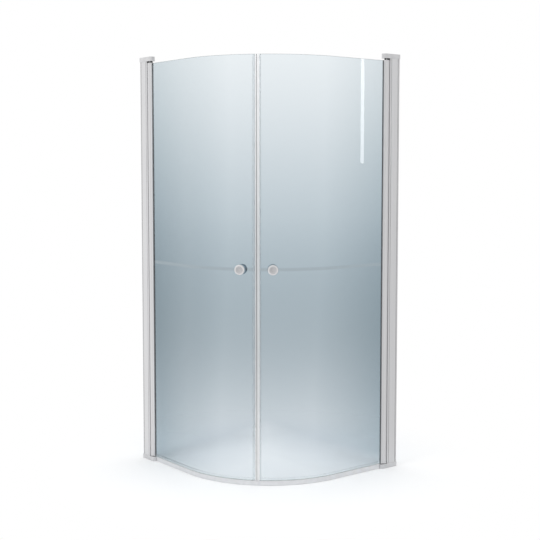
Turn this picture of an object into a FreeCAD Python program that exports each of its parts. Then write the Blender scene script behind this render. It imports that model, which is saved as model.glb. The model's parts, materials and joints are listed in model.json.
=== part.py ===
import FreeCAD, Part
import math
import os

# A quadrant shower enclosure. Two bowed glass doors swing on pivots between aluminium wall profiles
# and meet at an upright seam. All sizes are in millimetres. The origin is on the floor, in the middle
# of the square that the enclosure covers. The left wall is the plane x = -side / 2 and the right wall
# is the plane y = side / 2. The left half is modelled, and the right half is its mirror image.

V = FreeCAD.Vector
UP = V(0, 0, 1)

# Overall form
side = 900.0                # wall face to outer face, along both walls
height = 2000.0             # floor to the top of the caps
bow_radius = 500.0          # rounded corner, at the outer faces

# Wall channel
channel_base = 2.0
channel_leg = 1.5
channel_depth = 30.0
wall_hole_d = 5.5
wall_hole_end = 100.0       # end holes, from the floor and from the top
wall_hole_count = 4

# Hinge post
post_width = 30.0
post_wall = 2.0
post_reveal = 8.0           # channel left showing between post and wall
slide_clearance = 0.3       # post on channel, each side
adjust_room = 12.0          # free depth in front of the channel
chamber_depth = 12.0        # hollow behind the cove
post_tip = 3.0              # solid tip of each leg beside the cove
post_edge = 1.5             # rounding of the front corners
port_wall = 2.1             # round each screw port

# Hinge
barrel_radius = 13.0
cove_gap = 1.0              # barrel to cove
swing_gap = 1.0             # open stile to the post's legs
pin_d = 8.0
pin_seat = 14.0             # pin in the cap
running_clearance = 0.05    # radial, pin in bush, bush in stile and thread in hole
bush_d = 12.0
bush_length = 25.0
collar_d = 24.0
collar_edge = 0.8
collar_play = 0.2           # top collar to top cap
top_gap = 8.0               # stile to top cap
bottom_gap = 2.0            # stile to bottom cap
seal_seat = 0.15            # bed of the wiper strip in the cove
seal_thickness = 0.5
seal_span = 60.0            # degrees of the cove that the wiper strip covers

# Caps
cap_height = 22.0
cap_lap = 1.5               # cap wider than the post, each side
cap_overhang = 4.0          # cap longer than the stile
cap_rim = 2.0

# Cap screws
cap_screw_d = 3.8
cap_screw_length = 30.0
cap_screw_head_d = 7.0
cap_screw_head = 2.6
cap_screw_sink = 8.0        # depth of the counterbore
head_clearance = 0.3

# Adjusting screws and their covers
adjust_screw_d = 3.9
adjust_screw_length = 8.0
adjust_head_d = 8.0
adjust_head = 2.8
adjust_end = 150.0          # end screws, from the floor and from the top
adjust_count = 3
cover_wall = 1.6
cover_top = 1.2

# Stile and gasket
stile_cheek = 3.5           # each side of the glass slot
stile_wall = 2.0            # between bush bore and glass slot
glass_bite = 14.0           # glass held in the slot
gasket_side = 1.5
gasket_base = 2.0
gasket_lip = 3.0            # lip in front of the stile
gasket_lip_rise = 2.0

# Glass
glass_thickness = 6.0
glass_rise = 1.0            # above the lower end of the stile
glass_drop = 2.0            # below the upper end of the stile

# Closing strip and magnet
seam_gap = 0.8              # between the two strips
strip_clip = 12.0
strip_leg = 1.1
housing_depth = 6.5
housing_width = 10.0
magnet_depth = 4.0
magnet_width = 7.0
magnet_clearance = 0.1

# Sweep
sweep_gap = 2.0             # to the cap
sweep_clip = 12.0
sweep_leg = 1.1
sweep_base = 2.0
skirt_thickness = 2.0
floor_gap = 1.0
drip_reach = 6.0
drip_drop = 8.0
drip_thickness = 1.2
clip_gap = 0.3              # between the sweep's clip and the closing strip

# Knobs
knob_z = 1000.0
knob_from_seam = 73.0       # along the glass
knob_d = 48.0
knob_length = 26.0
neck_d = 26.0
neck_length = 7.0
flare_length = 5.0
rim_radius = 4.0
dish_d = 30.0
dish_depth = 5.0
stud_d = 6.0
stud_grip = 14.0            # stud in each knob
stud_tip_room = 1.0
glass_hole_d = 10.0
sleeve_clearance = 0.1
washer_d = 29.0
washer_thickness = 1.2

# Plan values that follow from these sizes. u runs from the wall along the door, and v outwards.
half_side = side / 2
cap_width = post_width + 2 * cap_lap
inset = cap_width / 2                       # outer face to the plane of the pivots and the glass
line_radius = bow_radius - inset            # middle of the bowed glass
line_y = inset - half_side                  # middle of the flat glass
bow = V(half_side - bow_radius, bow_radius - half_side, 0)
bow_u = side - bow_radius                   # where the flat glass ends
bow_length = line_radius * math.pi / 4      # from there to the seam

post_half = post_width / 2
pocket_half = post_half - post_wall
channel_half = pocket_half - slide_clearance
web_u = channel_depth + adjust_room
glass_half = glass_thickness / 2
slot_half = glass_half + gasket_side
tongue_half = slot_half + stile_cheek
cove_radius = barrel_radius + cove_gap
pivot_u = web_u + post_wall + chamber_depth + post_wall + cove_radius
post_end = pivot_u - tongue_half - swing_gap
slot_u = pivot_u + bush_d / 2 + stile_wall
glass_u = slot_u + gasket_base
tongue_end = glass_u + glass_bite
cap_end = tongue_end + cap_overhang
port_hole_r = cap_screw_d / 2 + running_clearance
port_radius = port_hole_r + port_wall
port_u = web_u + post_wall / 2 + port_radius
port_v = post_half - post_wall / 2 - port_radius
adjust_u = (post_reveal + channel_depth) / 2

# Heights that follow
post_z0 = cap_height
post_z1 = height - cap_height
stile_z0 = post_z0 + bottom_gap
stile_z1 = post_z1 - top_gap
glass_z0 = stile_z0 + glass_rise
glass_z1 = stile_z1 - glass_drop

# Along the door, s runs back from the seam
strip_s = seam_gap / 2
glass_s = strip_s + housing_depth
clip_s = glass_s + strip_clip


def at(u, v, z=0.0):
    """A point by its distance from the left wall and outwards from the plane of the pivots."""
    return V(u - half_side, line_y - v, z)


def block(u0, u1, v0, v1, z0, z1):
    return Part.makeBox(u1 - u0, v1 - v0, z1 - z0, at(u0, v1, z0))


def rod(u, v, radius, z0, z1):
    return Part.makeCylinder(radius, z1 - z0, at(u, v, z0))


def cross_rod(u, z, v0, v1, radius):
    """A cylinder along v."""
    return Part.makeCylinder(radius, v1 - v0, at(u, v1, z), V(0, 1, 0))


def prism(edges, z0, z1):
    """An upright solid on a closed plan outline."""
    face = Part.Face(Part.Wire(Part.__sortEdges__(edges)))
    face.translate(UP * z0)
    return face.extrude(UP * (z1 - z0))


def plan_prism(points, z0, z1):
    corners = [at(u, v) for u, v in points]
    edges = [Part.makeLine(a, b) for a, b in zip(corners, corners[1:] + corners[:1])]
    return prism(edges, z0, z1)


def on_bow(radius, s):
    """A point of the bow, a distance s back from the seam along the middle of the glass."""
    angle = -math.pi / 4 - s / line_radius
    return bow + V(math.cos(angle), math.sin(angle), 0) * radius


def bow_arc(radius, s0, s1):
    return Part.Arc(on_bow(radius, s0), on_bow(radius, (s0 + s1) / 2), on_bow(radius, s1)).toShape()


def sector(n0, n1, s0, s1, z0, z1):
    """A piece of the bow between two offsets from the middle of the glass."""
    r0 = line_radius + n0
    r1 = line_radius + n1
    edges = [bow_arc(r1, s0, s1), Part.makeLine(on_bow(r1, s1), on_bow(r0, s1)),
             bow_arc(r0, s1, s0), Part.makeLine(on_bow(r0, s0), on_bow(r1, s0))]
    return prism(edges, z0, z1)


def door_band(n0, n1, u0, s1, z0, z1):
    """A curtain along the door, flat from u0 and then bowed as far as s1."""
    edges = [Part.makeLine(on_bow(line_radius + n1, s1), on_bow(line_radius + n0, s1)),
             Part.makeLine(at(u0, n0), at(u0, n1))]
    for n in (n0, n1):
        edges.append(Part.makeLine(at(u0, n), at(bow_u, n)))
        edges.append(bow_arc(line_radius + n, bow_length, s1))
    return prism(edges, z0, z1)


def door_sweep(section, u0, s1):
    """A section of (n, z) points drawn along the door, flat from u0 and then bowed as far as s1."""
    flat = Part.Face(Part.makePolygon([at(u0, n, z) for n, z in section + section[:1]]))
    start = flat.translated(V(bow_u - u0, 0, 0))
    turn = math.degrees((bow_length - s1) / line_radius)
    bowed = start.revolve(bow, UP, turn)
    return flat.extrude(V(bow_u - u0, 0, 0)).fuse(bowed).removeSplitter()


def stations(end, count):
    """Heights spread evenly between two ends."""
    step = (height - 2 * end) / (count - 1)
    return [end + i * step for i in range(count)]


def upright_edges(shape, u, v):
    """The upright edges of a shape that stand at a plan point."""
    spot = at(u, v)
    return [e for e in shape.Edges
            if all(math.hypot(p.Point.x - spot.x, p.Point.y - spot.y) < 0.01 for p in e.Vertexes)]


def rim_edges(shape, z):
    """The edges of a level face, apart from those that lie on the wall."""
    return [e for e in shape.Edges
            if abs(e.BoundBox.ZMin - z) < 0.01 and abs(e.BoundBox.ZMax - z) < 0.01
            and e.BoundBox.XMax > 0.01 - half_side]


def wall_channel():
    """The U that is screwed to the wall."""
    body = block(0, channel_depth, -channel_half, channel_half, post_z0, post_z1)
    inner = channel_half - channel_leg
    body = body.cut(block(channel_base, channel_depth, -inner, inner, post_z0, post_z1))
    for z in stations(wall_hole_end, wall_hole_count):
        body = body.cut(Part.makeCylinder(wall_hole_d / 2, channel_base, at(0, 0, z), V(1, 0, 0)))
    for z in stations(adjust_end, adjust_count):
        body = body.cut(cross_rod(adjust_u, z, -channel_half, -inner,
                                  adjust_screw_d / 2 + running_clearance))
    return body


def hinge_post():
    """A sleeve on the channel, a hollow chamber with screw ports, and a cove for the hinge barrel."""
    body = block(post_reveal, post_end, -post_half, post_half, post_z0, post_z1)
    corners = upright_edges(body, post_end, post_half) + upright_edges(body, post_end, -post_half)
    body = body.makeFillet(min(post_edge, post_wall), corners)
    body = body.cut(rod(pivot_u, 0, cove_radius, post_z0, post_z1))
    body = body.cut(block(post_reveal, web_u, -pocket_half, pocket_half, post_z0, post_z1))
    chamber = block(web_u + post_wall, post_end - post_tip, -pocket_half, pocket_half, post_z0, post_z1)
    chamber = chamber.cut(rod(pivot_u, 0, cove_radius + post_wall, post_z0, post_z1))
    for v in (-port_v, port_v):
        chamber = chamber.cut(rod(port_u, v, port_radius, post_z0, post_z1))
    body = body.cut(chamber)
    for v in (-port_v, port_v):
        body = body.cut(rod(port_u, v, port_hole_r, post_z0, post_z1))
    for z in stations(adjust_end, adjust_count):
        body = body.cut(cross_rod(adjust_u, z, -post_half, -pocket_half,
                                  adjust_screw_d / 2 + slide_clearance))
    return body


def hinge_seal():
    """The wiper strip that lies in the cove."""
    def on_cove(radius, degrees):
        turn = math.radians(degrees)
        return at(pivot_u + radius * math.cos(turn), radius * math.sin(turn))

    first = 180 - seal_span / 2
    last = 180 + seal_span / 2
    outer = cove_radius - seal_seat
    inner = outer - seal_thickness
    edges = [Part.makeLine(on_cove(inner, a), on_cove(outer, a)) for a in (first, last)]
    for radius in (inner, outer):
        edges.append(Part.Arc(on_cove(radius, first), on_cove(radius, 180), on_cove(radius, last)).toShape())
    return prism(edges, post_z0, post_z1)


def cap(z0):
    """The block on one end of the post, round in front, before its holes."""
    nose = cap_width / 2
    edges = [Part.makeLine(at(0, -nose), at(0, nose)),
             Part.makeLine(at(0, nose), at(cap_end - nose, nose)),
             Part.Arc(at(cap_end - nose, nose), at(cap_end, 0), at(cap_end - nose, -nose)).toShape(),
             Part.makeLine(at(cap_end - nose, -nose), at(0, -nose))]
    return prism(edges, z0, z0 + cap_height)


def cap_holes(body, outer_z, inner_z):
    """Screw holes sunk from the outer face, and the blind bore of the pin in the inner face."""
    inward = 1 if inner_z > outer_z else -1
    sink_z = outer_z + inward * cap_screw_sink
    bore_z = inner_z - inward * pin_seat
    for v in (-port_v, port_v):
        body = body.cut(rod(port_u, v, port_hole_r, min(outer_z, inner_z), max(outer_z, inner_z)))
        body = body.cut(rod(port_u, v, cap_screw_head_d / 2 + head_clearance,
                            min(outer_z, sink_z), max(outer_z, sink_z)))
    return body.cut(rod(pivot_u, 0, pin_d / 2 + running_clearance,
                        min(bore_z, inner_z), max(bore_z, inner_z)))


def top_cap():
    body = cap(post_z1)
    body = body.makeFillet(cap_rim, rim_edges(body, height))
    return cap_holes(body, height, post_z1)


def bottom_cap():
    body = cap(0)
    body = body.makeFillet(min(cap_rim, 0.9 * cap_lap), rim_edges(body, post_z0))
    return cap_holes(body, 0, post_z0)


def pin(z0, z1):
    body = rod(pivot_u, 0, pin_d / 2, z0, z1)
    ends = [e for e in body.Edges if e.BoundBox.ZLength < 0.01]
    return body.makeChamfer(pin_d / 12, ends)


def top_pin():
    return pin(stile_z1 - bush_length, post_z1 + pin_seat)


def bottom_pin():
    return pin(post_z0 - pin_seat, stile_z0 + bush_length)


def bush(collar_z0, collar_z1, shank_z0, shank_z1):
    """A collar between cap and stile, on a shank in the stile's bore, bored for the pin."""
    collar = rod(pivot_u, 0, collar_d / 2, collar_z0, collar_z1)
    ends = [e for e in collar.Edges if e.BoundBox.ZLength < 0.01]
    collar = collar.makeFillet(min(collar_edge, 0.4 * (collar_z1 - collar_z0)), ends)
    body = collar.fuse(rod(pivot_u, 0, bush_d / 2, shank_z0, shank_z1))
    low = min(collar_z0, shank_z0)
    high = max(collar_z1, shank_z1)
    return body.cut(rod(pivot_u, 0, pin_d / 2 + running_clearance, low, high))


def top_bush():
    return bush(stile_z1, post_z1 - collar_play, stile_z1 - bush_length, stile_z1)


def bottom_bush():
    return bush(post_z0, stile_z0, stile_z0, stile_z0 + bush_length)


def cap_screw(v, head_z, inward):
    """A cap screw with a domed head, standing in a counterbore and pointing into the post."""
    crown = cap_screw_head / 2
    tip = cap_screw_d / 4
    half = [V(0, 0, -cap_screw_head), V(cap_screw_head_d / 2 - crown, 0, -cap_screw_head),
            V(cap_screw_head_d / 2, 0, -crown), V(cap_screw_head_d / 2, 0, 0),
            V(cap_screw_d / 2, 0, 0), V(cap_screw_d / 2, 0, cap_screw_length - tip),
            V(cap_screw_d / 2 - tip, 0, cap_screw_length), V(0, 0, cap_screw_length)]
    screw = Part.Face(Part.makePolygon(half + half[:1])).revolve(V(), UP, 360)
    screw.Placement = FreeCAD.Placement(at(port_u, v, head_z), FreeCAD.Rotation(UP, UP * inward))
    return screw


def cap_screws():
    seats = ((cap_screw_sink, 1), (height - cap_screw_sink, -1))
    return [cap_screw(v, z, inward) for z, inward in seats for v in (-port_v, port_v)]


def adjust_screws():
    """Screws through the inner side of the post into the channel."""
    screws = []
    for z in stations(adjust_end, adjust_count):
        head = cross_rod(adjust_u, z, -post_half - adjust_head, -post_half, adjust_head_d / 2)
        outer = [e for e in head.Edges if abs(e.BoundBox.YMin - at(0, -post_half - adjust_head).y) < 0.01]
        head = head.makeFillet(adjust_head / 3, outer)
        shank = cross_rod(adjust_u, z, -post_half, adjust_screw_length - post_half, adjust_screw_d / 2)
        screws.append(head.fuse(shank))
    return screws


def screw_covers():
    """Snap covers over the heads of the adjusting screws."""
    covers = []
    hollow = adjust_head + head_clearance
    rise = hollow + cover_top
    radius = adjust_head_d / 2 + head_clearance
    for z in stations(adjust_end, adjust_count):
        body = cross_rod(adjust_u, z, -post_half - rise, -post_half, radius + cover_wall)
        outer = [e for e in body.Edges if abs(e.BoundBox.YMin - at(0, -post_half - rise).y) < 0.01]
        body = body.makeFillet(0.8 * min(cover_top, cover_wall), outer)
        covers.append(body.cut(cross_rod(adjust_u, z, -post_half - hollow, -post_half, radius)))
    return covers


def stile():
    """The hinge barrel with a bush bore, and a tongue with the slot for the glass."""
    body = rod(pivot_u, 0, barrel_radius, stile_z0, stile_z1)
    tongue = block(pivot_u, tongue_end, -tongue_half, tongue_half, stile_z0, stile_z1)
    corners = upright_edges(tongue, tongue_end, tongue_half) + upright_edges(tongue, tongue_end, -tongue_half)
    body = body.fuse(tongue.makeFillet(stile_cheek / 3, corners))
    body = body.cut(block(slot_u, tongue_end, -slot_half, slot_half, stile_z0, stile_z1))
    return body.cut(rod(pivot_u, 0, bush_d / 2 + running_clearance, stile_z0, stile_z1))


def glass_gasket():
    """A channel round the edge of the glass, with a lip on each side in front of the stile."""
    lip_end = tongue_end + gasket_lip
    lip_top = glass_half + gasket_lip_rise
    half = [(slot_u, slot_half), (tongue_end, slot_half), (tongue_end, lip_top),
            (tongue_end + gasket_lip / 3, lip_top), (lip_end, glass_half + gasket_lip_rise / 3),
            (lip_end, glass_half), (glass_u, glass_half)]
    outline = half + [(u, -v) for u, v in reversed(half)]
    return plan_prism(outline, glass_z0, glass_z1)


def pane():
    """The glass before its hole is drilled."""
    return door_band(-glass_half, glass_half, glass_u, glass_s, glass_z0, glass_z1)


def closing_strip():
    """A clip on the upright edge of the glass, with the housing of the magnet."""
    wide = housing_width / 2
    body = sector(-wide, wide, strip_s, glass_s, glass_z0, glass_z1)
    legs = sector(-glass_half - strip_leg, glass_half + strip_leg, glass_s, clip_s, glass_z0, glass_z1)
    legs = legs.cut(sector(-glass_half, glass_half, glass_s, clip_s, glass_z0, glass_z1))
    wall = (housing_depth - magnet_depth) / 2
    room = sector(-magnet_width / 2, magnet_width / 2, strip_s + wall, strip_s + wall + magnet_depth,
                  glass_z0, glass_z1)
    return body.fuse(legs).removeSplitter().cut(room)


def magnet():
    wall = (housing_depth - magnet_depth) / 2 + magnet_clearance
    wide = magnet_width / 2 - magnet_clearance
    return sector(-wide, wide, strip_s + wall, glass_s - wall, glass_z0, glass_z1)


def sweep():
    """A clip on the lower edge of the glass, with a skirt to the floor and a drip fin inside."""
    start_u = cap_end + sweep_gap
    wide = glass_half + sweep_leg
    thin = skirt_thickness / 2
    under = glass_z0 - sweep_base
    section = [(-wide, glass_z0), (wide, glass_z0), (wide, under), (thin, under), (thin, floor_gap),
               (-thin, floor_gap), (-thin, under), (-wide + drip_thickness, under),
               (-wide - drip_reach + drip_thickness, under - drip_drop),
               (-wide - drip_reach, under - drip_drop), (-wide, under)]
    body = door_sweep(section, start_u, strip_s)
    clip_end = clip_s + clip_gap
    top = glass_z0 + sweep_clip
    for n0, n1 in ((-wide, -glass_half), (glass_half, wide)):
        body = body.fuse(door_band(n0, n1, start_u, clip_end, glass_z0, top))
    return body.removeSplitter()


knob_out = (on_bow(1, knob_from_seam) - bow).normalize()
knob_spot = on_bow(line_radius, knob_from_seam) + UP * knob_z
knob_back = glass_half + washer_thickness
stud_half = knob_back + stud_grip


def on_knob_axis(shape, way=1):
    """Set a shape that was made about the Z axis on the axis of the knobs, outwards or inwards."""
    shape.Placement = FreeCAD.Placement(knob_spot, FreeCAD.Rotation(UP, knob_out * way))
    return shape


def knob(way):
    """A turned knob with a neck, a rounded rim and a dished face."""
    rim = knob_d / 2
    neck = neck_d / 2
    dish = dish_d / 2
    front = knob_back + knob_length
    flare = knob_back + neck_length
    bend = math.sqrt(0.5)
    rim_mid = V(rim - rim_radius * (1 - bend), 0, front - rim_radius * (1 - bend))
    flare_mid = V(neck + (rim - neck) * (1 - bend), 0, flare + flare_length * bend)
    ball = (dish * dish + dish_depth * dish_depth) / (2 * dish_depth)
    half_turn = math.asin(dish / ball) / 2
    dish_mid = V(ball * math.sin(half_turn), 0, front - dish_depth + ball * (1 - math.cos(half_turn)))
    edges = [
        Part.makeLine(V(0, 0, knob_back), V(neck, 0, knob_back)),
        Part.makeLine(V(neck, 0, knob_back), V(neck, 0, flare)),
        Part.Arc(V(neck, 0, flare), flare_mid, V(rim, 0, flare + flare_length)).toShape(),
        Part.makeLine(V(rim, 0, flare + flare_length), V(rim, 0, front - rim_radius)),
        Part.Arc(V(rim, 0, front - rim_radius), rim_mid, V(rim - rim_radius, 0, front)).toShape(),
        Part.makeLine(V(rim - rim_radius, 0, front), V(dish, 0, front)),
        Part.Arc(V(dish, 0, front), dish_mid, V(0, 0, front - dish_depth)).toShape(),
        Part.makeLine(V(0, 0, front - dish_depth), V(0, 0, knob_back)),
    ]
    body = Part.Face(Part.Wire(edges)).revolve(V(), UP, 360)
    hole = Part.makeCylinder(stud_d / 2 + running_clearance, stud_grip + stud_tip_room, V(0, 0, knob_back))
    return on_knob_axis(body.cut(hole), way)


def knob_bolt():
    return on_knob_axis(Part.makeCylinder(stud_d / 2, 2 * stud_half, V(0, 0, -stud_half)))


def knob_sleeve():
    half = glass_half - sleeve_clearance
    tube = Part.makeCylinder(glass_hole_d / 2 - sleeve_clearance, 2 * half, V(0, 0, -half))
    bore = Part.makeCylinder(stud_d / 2 + sleeve_clearance, 2 * half, V(0, 0, -half))
    return on_knob_axis(tube.cut(bore))


def knob_washers(glass):
    """Discs between knobs and glass, shaped to the bow of the glass."""
    washers = []
    for way in (1, -1):
        disc = Part.makeCylinder(washer_d / 2, knob_back)
        disc = disc.cut(Part.makeCylinder(stud_d / 2 + sleeve_clearance, knob_back))
        disc = on_knob_axis(disc, way).cut(glass)
        washers.append(max(disc.Solids, key=lambda solid: solid.CenterOfMass.distanceToPoint(knob_spot)))
    return washers


def drilled(glass):
    """The glass with the hole for the stud of the knobs."""
    hole = Part.makeCylinder(glass_hole_d / 2, 4 * glass_thickness, V(0, 0, -2 * glass_thickness))
    return glass.cut(on_knob_axis(hole))


def left_half():
    """Every piece of the left half, by name. A list is a set of like pieces in one node."""
    glass = pane()
    return {
        "wall_channel": wall_channel(),
        "hinge_post": hinge_post(),
        "hinge_seal": hinge_seal(),
        "top_cap": top_cap(),
        "bottom_cap": bottom_cap(),
        "top_pin": top_pin(),
        "bottom_pin": bottom_pin(),
        "cap_screws": cap_screws(),
        "adjust_screws": adjust_screws(),
        "screw_covers": screw_covers(),
        "stile": stile(),
        "top_bush": top_bush(),
        "bottom_bush": bottom_bush(),
        "glass_gasket": glass_gasket(),
        "glass": drilled(glass),
        "closing_strip": closing_strip(),
        "magnet": magnet(),
        "sweep": sweep(),
        "knob_outer": knob(1),
        "knob_inner": knob(-1),
        "knob_bolt": knob_bolt(),
        "knob_sleeve": knob_sleeve(),
        "knob_washers": knob_washers(glass),
    }


os.makedirs("parts", exist_ok=True)
for name, piece in left_half().items():
    left = Part.makeCompound(piece) if isinstance(piece, list) else piece
    right = left.mirror(V(), V(1, 1, 0))
    left.exportStep(f"parts/left_{name}.step")
    right.exportStep(f"parts/right_{name}.step")
    print(name, len(left.Solids), round(left.Volume), round(right.Volume), left.isValid(), right.isValid())
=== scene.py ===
# %% [markdown]
# # A corner shower enclosure with two bowed glass doors
# The enclosure closes off a corner of a bathroom. An aluminium post stands at each end, and a bowed glass
# door swings on pivots between the die-cast caps of its post. The doors meet at an upright seam in the
# middle of the rounded corner, where two plastic strips with magnet bars hold them shut.
#
# The construction comes measured, as a frame of named solids in metres. This lesson gives every solid its
# finish, and makes again, as finer meshes, the pieces that are seen most: the panes, the seals along
# their edges, the posts, the knobs and the screws.

# %% Load the frame
import json
import math

import bmesh
import bpy
from mathutils import Matrix, Vector


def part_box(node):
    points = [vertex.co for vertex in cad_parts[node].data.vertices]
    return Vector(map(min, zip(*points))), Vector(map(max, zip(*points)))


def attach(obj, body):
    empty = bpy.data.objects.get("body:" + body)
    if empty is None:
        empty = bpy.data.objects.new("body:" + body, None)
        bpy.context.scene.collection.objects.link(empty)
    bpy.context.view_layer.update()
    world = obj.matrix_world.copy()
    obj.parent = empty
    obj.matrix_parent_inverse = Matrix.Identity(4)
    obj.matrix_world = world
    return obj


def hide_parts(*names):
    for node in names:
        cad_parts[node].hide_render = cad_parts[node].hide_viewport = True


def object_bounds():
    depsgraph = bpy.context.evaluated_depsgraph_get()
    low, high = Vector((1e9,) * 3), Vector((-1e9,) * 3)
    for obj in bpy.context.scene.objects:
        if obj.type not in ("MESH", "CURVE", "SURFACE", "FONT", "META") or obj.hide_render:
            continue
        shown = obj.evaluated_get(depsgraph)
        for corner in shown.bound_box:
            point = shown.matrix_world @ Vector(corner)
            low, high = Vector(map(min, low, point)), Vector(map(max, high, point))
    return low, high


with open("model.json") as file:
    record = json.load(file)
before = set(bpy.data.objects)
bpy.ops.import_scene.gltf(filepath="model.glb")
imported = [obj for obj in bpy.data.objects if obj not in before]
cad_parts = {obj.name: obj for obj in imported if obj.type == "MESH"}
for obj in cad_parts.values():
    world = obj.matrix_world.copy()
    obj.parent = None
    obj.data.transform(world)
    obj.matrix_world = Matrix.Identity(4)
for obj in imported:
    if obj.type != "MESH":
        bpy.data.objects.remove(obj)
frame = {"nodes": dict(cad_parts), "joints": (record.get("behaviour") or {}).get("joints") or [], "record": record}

nodes = frame["nodes"]
scene = bpy.context.scene
cad_low, cad_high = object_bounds()
print("frame:", len(nodes), "nodes from", tuple(cad_low), "to", tuple(cad_high))

# %% [markdown]
# ## The plan of a door
# Everything that follows a door follows one line: the middle of its glass, seen from above. The line
# leaves the hinge straight and then bends in an even bow up to the seam. Three facts give that line: the
# hinge axis, the outer faces of the enclosure and the radius of its rounded corner. The first two are
# read from the frame, so the meshes stay in line with the solids. The left door is measured here, and the
# right door is its mirror image, with x and y changed over and both signs turned.

# %% Measure the plan
outer_radius = 0.5          # rounded corner, at the outer faces
hinges = {joint["name"]: Vector(joint["pos_m"]) for joint in frame["joints"]}
hinge_spot = hinges["left_door_hinge"]
line_y = hinge_spot.y       # the flat stretch of the left door lies along this line
bow_centre = Vector((cad_high.x - outer_radius, outer_radius - cad_high.x, 0))
line_radius = bow_centre.y - line_y
glass_low, glass_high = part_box("left_glass")
glass_half = line_y - glass_low.y
mirror_plan = Matrix(((0, -1, 0, 0), (-1, 0, 0, 0), (0, 0, 1, 0), (0, 0, 0, 1)))


def door_point(back, out):
    """A plan point of the left door, so far back from the seam and out from the glass line."""
    angle = -math.pi / 4 - back / line_radius
    return bow_centre + Vector((math.cos(angle), math.sin(angle), 0)) * (line_radius + out)


print("glass line: radius", round(line_radius, 4), "centre", tuple(bow_centre), "glass", 2 * glass_half)

# %% [markdown]
# ## The camera
# The view is a little above the middle of the doors and to the right of the seam, so the right post is
# seen more from the front than the left one. A long lens keeps the uprights nearly parallel. A large
# shift would make them fully parallel, but every other view keeps the shift too and would lose part of
# the object. So the shift is small, and the camera looks down a little to hold the floor in the picture.

# %% Set the camera


def add_object(name, data):
    item = bpy.data.objects.new(name, data)
    scene.collection.objects.link(item)
    return item


camera_data = bpy.data.cameras.new("camera")
camera_data.lens = 71.5
camera_data.shift_y = -0.03
camera = add_object("camera", camera_data)
camera.location = (4.1454, -3.2313, 1.4518)
camera.rotation_euler = (math.pi / 2 - 0.0782, 0, 0.9068)
scene.camera = camera
scene.view_settings.view_transform = "Standard"
print("camera at", tuple(camera.location))

# %% [markdown]
# ## Room light
# Glass and satin metal show what is around them, so the surroundings are the first part of their look. A
# picture of a room could stand round the object, but a few nodes are easier to steer. The world is plain
# white for the camera and for what is seen through the glass. Reflections find a pale room that is
# brightest on the left, so the faces of the posts differ a little. All other rays find a softer grey, and
# the lamps give form to plain surfaces.

# %% Tell the kinds of ray apart
white_rays = ("Is Camera Ray", "Is Transmission Ray")
mirror_rays = ("Is Glossy Ray",)


def feed(tree, socket, value):
    """Link a socket to another one, or set it to a plain value."""
    if isinstance(value, bpy.types.NodeSocket):
        tree.links.new(value, socket)
    else:
        socket.default_value = value


def number(tree, operation, first, second=0.0):
    """A Math node on two sockets or plain numbers."""
    node = tree.nodes.new("ShaderNodeMath")
    node.operation = operation
    for socket, value in zip(node.inputs, (first, second)):
        feed(tree, socket, value)
    return node.outputs[0]


def any_ray(tree, names):
    """A value that is 1 for the named kinds of ray."""
    path = tree.nodes.new("ShaderNodeLightPath")
    value = path.outputs[names[0]]
    for name in names[1:]:
        value = number(tree, "MAXIMUM", value, path.outputs[name])
    return value


print("rays that see plain white:", white_rays)

# %% Describe the pale room
bright_side = Vector((-0.80, -0.58, 0.12)).normalized()
room_dim = 0.88
room_bright = 1.12


def vector(tree, operation, first, second=(0, 0, 0)):
    """A Vector Math node on two sockets or plain vectors."""
    node = tree.nodes.new("ShaderNodeVectorMath")
    node.operation = operation
    for socket, value in zip(node.inputs, (first, second)):
        feed(tree, socket, value)
    return node.outputs


def spread(tree, value, low, high, start=0.3, end=0.7, smooth=False):
    """Carry a value from start to end over to low to high."""
    node = tree.nodes.new("ShaderNodeMapRange")
    node.interpolation_type = "SMOOTHSTEP" if smooth else "LINEAR"
    settings = {"Value": value, "From Min": start, "From Max": end, "To Min": low, "To Max": high}
    for label, setting in settings.items():
        feed(tree, node.inputs[label], setting)
    return node.outputs["Result"]


def room_strength(tree, way):
    """How bright the pale room is in a direction."""
    side = vector(tree, "DOT_PRODUCT", way, bright_side)["Value"]
    return spread(tree, side, room_dim, room_bright, -1, 1)


print("room strength from", room_dim, "to", room_bright)

# %% Light the world
soft_level = 0.62


def sky(tree, colour, strength):
    node = tree.nodes.new("ShaderNodeBackground")
    feed(tree, node.inputs["Color"], (*colour, 1))
    feed(tree, node.inputs["Strength"], strength)
    return node


def blend_shaders(tree, factor, first, second):
    """The first shader where the factor is 0, and the second where it is 1."""
    node = tree.nodes.new("ShaderNodeMixShader")
    feed(tree, node.inputs["Fac"], factor)
    feed(tree, node.inputs[1], first.outputs[0])
    feed(tree, node.inputs[2], second.outputs[0])
    return node


def light_world():
    """White where it is seen, a pale room in reflections, and a soft grey light for the rest."""
    world = bpy.data.worlds.new("studio")
    world.use_nodes = True
    tree = world.node_tree
    tree.nodes.clear()
    way = tree.nodes.new("ShaderNodeTexCoord").outputs["Generated"]
    seen = sky(tree, (1, 1, 1), 1.0)
    soft = sky(tree, (0.97, 0.985, 1), soft_level)
    room = sky(tree, (1, 1, 1), room_strength(tree, way))
    unseen = blend_shaders(tree, any_ray(tree, mirror_rays), soft, room)
    mixed = blend_shaders(tree, any_ray(tree, white_rays), unseen, seen)
    tree.links.new(mixed.outputs[0], tree.nodes.new("ShaderNodeOutputWorld").inputs["Surface"])
    return world


scene.world = light_world()
print("world:", len(scene.world.node_tree.nodes), "nodes")

# %% [markdown]
# ## The floor
# The floor is a plain pale sheet. Near the object it is an ordinary matt surface, so it takes the shadow
# of the caps and the doors. A backdrop that bends up behind the object would need a place of its own for
# every view. So the sheet lies flat, turns into plain white by its distance from the middle, and meets
# the white world without a line. In reflections it turns as bright as the room on that side, for the same
# reason.

# %% Finish the floor
floor_near = 0.45           # matt up to this distance from the middle
floor_far = 1.15            # plain white from here on


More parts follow.
